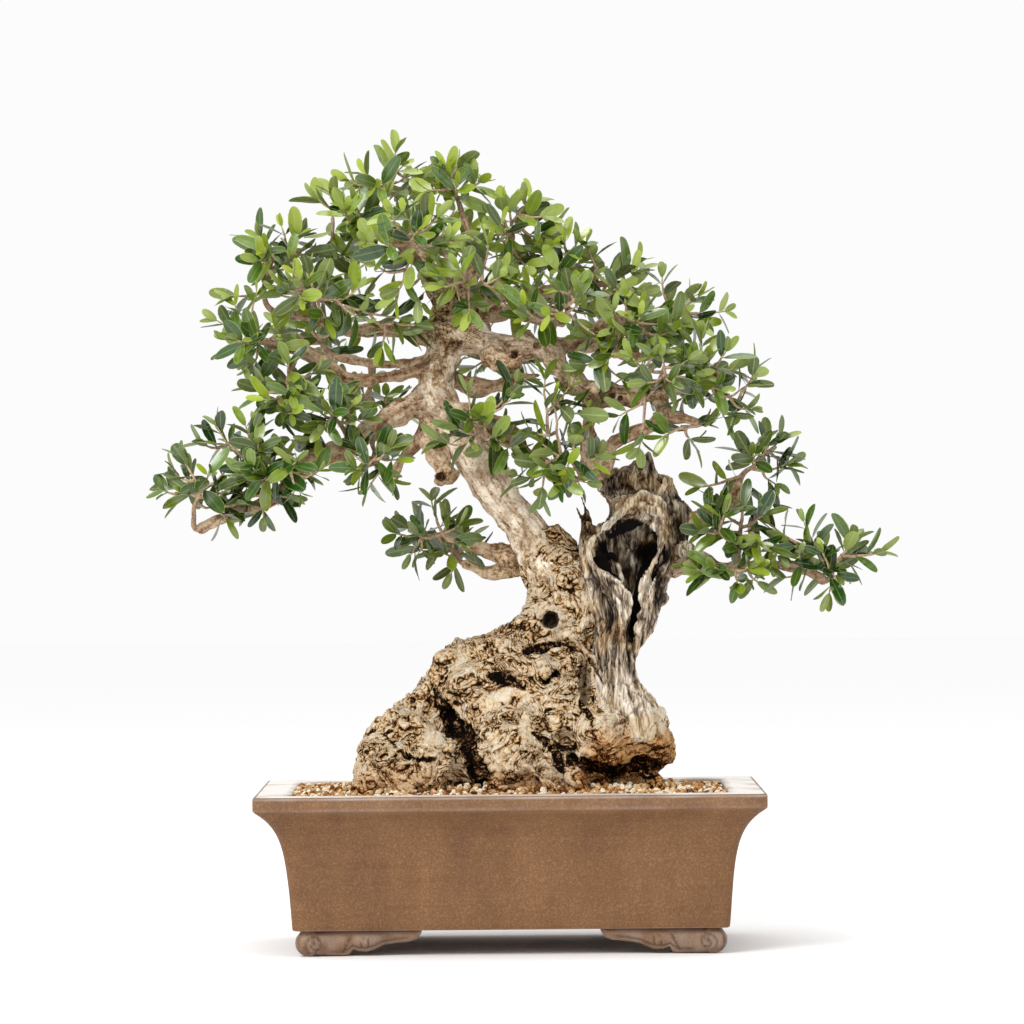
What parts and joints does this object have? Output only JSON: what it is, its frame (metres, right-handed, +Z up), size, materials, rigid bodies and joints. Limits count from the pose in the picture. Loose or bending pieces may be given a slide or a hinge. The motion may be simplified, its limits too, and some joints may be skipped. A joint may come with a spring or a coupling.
{
  "type": "olive bonsai",
  "caption": "Old olive bonsai with a burred root base, a hollow deadwood trunk and small leafy sprays, in a footed rectangular stoneware pot of granular soil.",
  "frame": {"origin": "middle of the whole bonsai's bounding box, on the surface that the pot's feet stand on", "axes": "+Z up, +X to the right along the pot's length as seen from the front, -Y towards the viewer"},
  "size_m": [0.6086, 0.26, 0.6485],
  "materials": {
    "stoneware": "unglazed matt brown stoneware with fine pale specks",
    "screen": "dark moulded mesh",
    "olive_wood": "corky cream bark on the base, smooth grey bark on the limbs, weathered grey deadwood",
    "substrate": "loose pumice and baked clay grains",
    "foliage": "leathery olive leaves, glossy dark green above and matt sage below, on pale shoots"
  },
  "bodies": {
    "root": {"pot": "stoneware", "drain_screen_left": "screen", "drain_screen_right": "screen", "wood": "olive_wood", "soil": "substrate", "spray_left_low_tip": "foliage", "spray_left_low_mid": "foliage", "spray_left_low_front": "foliage", "spray_left_mid_tip": "foliage", "spray_left_mid": "foliage", "spray_left_mid_in": "foliage", "spray_left_in_low": "foliage", "spray_left_up_tip": "foliage", "spray_left_up_front": "foliage", "spray_left_up_back": "foliage", "spray_left_back": "foliage", "spray_left_back_low": "foliage", "spray_apex_left": "foliage", "spray_apex_top": "foliage", "spray_apex_right": "foliage", "spray_apex_front": "foliage", "spray_apex_back": "foliage", "spray_crown_front": "foliage", "spray_crown_top": "foliage", "spray_crown_right": "foliage", "spray_crown_right_tip": "foliage", "spray_crown_right_front": "foliage", "spray_crown_back": "foliage", "spray_crown_back_left": "foliage", "spray_right_mid": "foliage", "spray_right_tip": "foliage", "spray_right_low_tip": "foliage", "spray_right_front": "foliage", "spray_right_under": "foliage", "spray_right_back": "foliage", "spray_front_centre": "foliage", "spray_front_left": "foliage", "spray_low_left_tip": "foliage", "spray_low_left_in": "foliage", "spray_low_right_top": "foliage", "spray_low_right_mid": "foliage", "spray_low_right_tip": "foliage", "spray_low_right_under": "foliage"}
  },
  "joints": []
}
